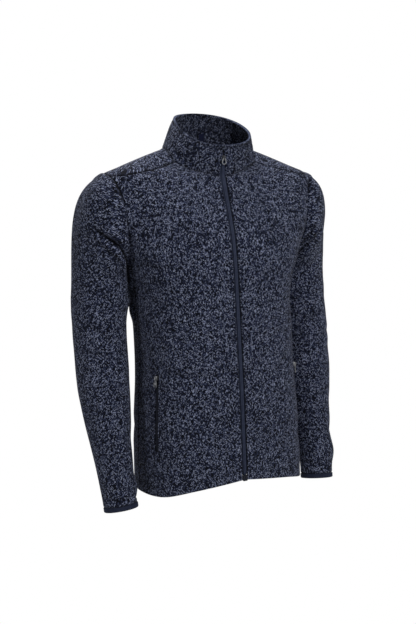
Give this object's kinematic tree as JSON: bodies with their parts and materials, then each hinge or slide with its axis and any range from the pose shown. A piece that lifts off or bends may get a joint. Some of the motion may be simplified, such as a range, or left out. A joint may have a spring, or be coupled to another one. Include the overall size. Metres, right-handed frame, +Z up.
{
  "type": "zip jacket",
  "caption": "Hollow zip-front fleece jacket with a stand collar, long sleeves with bound cuffs and zipped side pockets, filled out as if worn.",
  "frame": {"origin": "where the wearer's shoulders carry the jacket: on the centre plane, level with the two points where the collar meets the shoulder ridge", "axes": "+Z up, -Y to the front of the jacket, +X to the wearer's left"},
  "size_m": [0.5866, 0.2743, 0.8144],
  "materials": {
    "fleece": "matte heathered navy sweater knit with a brushed face",
    "cuff_binding": "matte plain navy stretch binding",
    "zip_tape": "matte dark navy woven tape with a covered coil",
    "neck_patch": "matte plain navy",
    "zip_metal": "satin gunmetal"
  },
  "bodies": {
    "garment": {"front_right": "fleece", "front_left": "fleece", "back": "fleece", "sleeve_right": "fleece", "sleeve_left": "fleece", "collar": "fleece", "cuff_binding_right": "cuff_binding", "cuff_binding_left": "cuff_binding", "zip_tape_right": "zip_tape", "zip_tape_left": "zip_tape", "pocket_zip_right": "zip_tape", "pocket_zip_left": "zip_tape", "neck_patch": "neck_patch", "zip_box": "zip_tape", "front_slider": "zip_metal", "pocket_slider_right": "zip_metal", "pocket_slider_left": "zip_metal"},
    "front_pull": {"front_pull": "zip_metal"},
    "pocket_pull_right": {"pocket_pull_right": "zip_metal"},
    "pocket_pull_left": {"pocket_pull_left": "zip_metal"}
  },
  "joints": [
    {"name": "front_pull_turn", "type": "hinge", "parent": "garment", "child": "front_pull", "pos_m": [0, -0.09034, -0.02764], "axis": [-1, 0, 0], "range_deg": [0, 165]},
    {"name": "pocket_pull_right_turn", "type": "hinge", "parent": "garment", "child": "pocket_pull_right", "pos_m": [-0.15936, -0.07374, -0.46142], "axis": [-0.366, 0.9306, 0.0034], "range_deg": [0, 165]},
    {"name": "pocket_pull_left_turn", "type": "hinge", "parent": "garment", "child": "pocket_pull_left", "pos_m": [0.15936, -0.07374, -0.46142], "axis": [-0.366, -0.9306, -0.0034], "range_deg": [0, 165]}
  ]
}
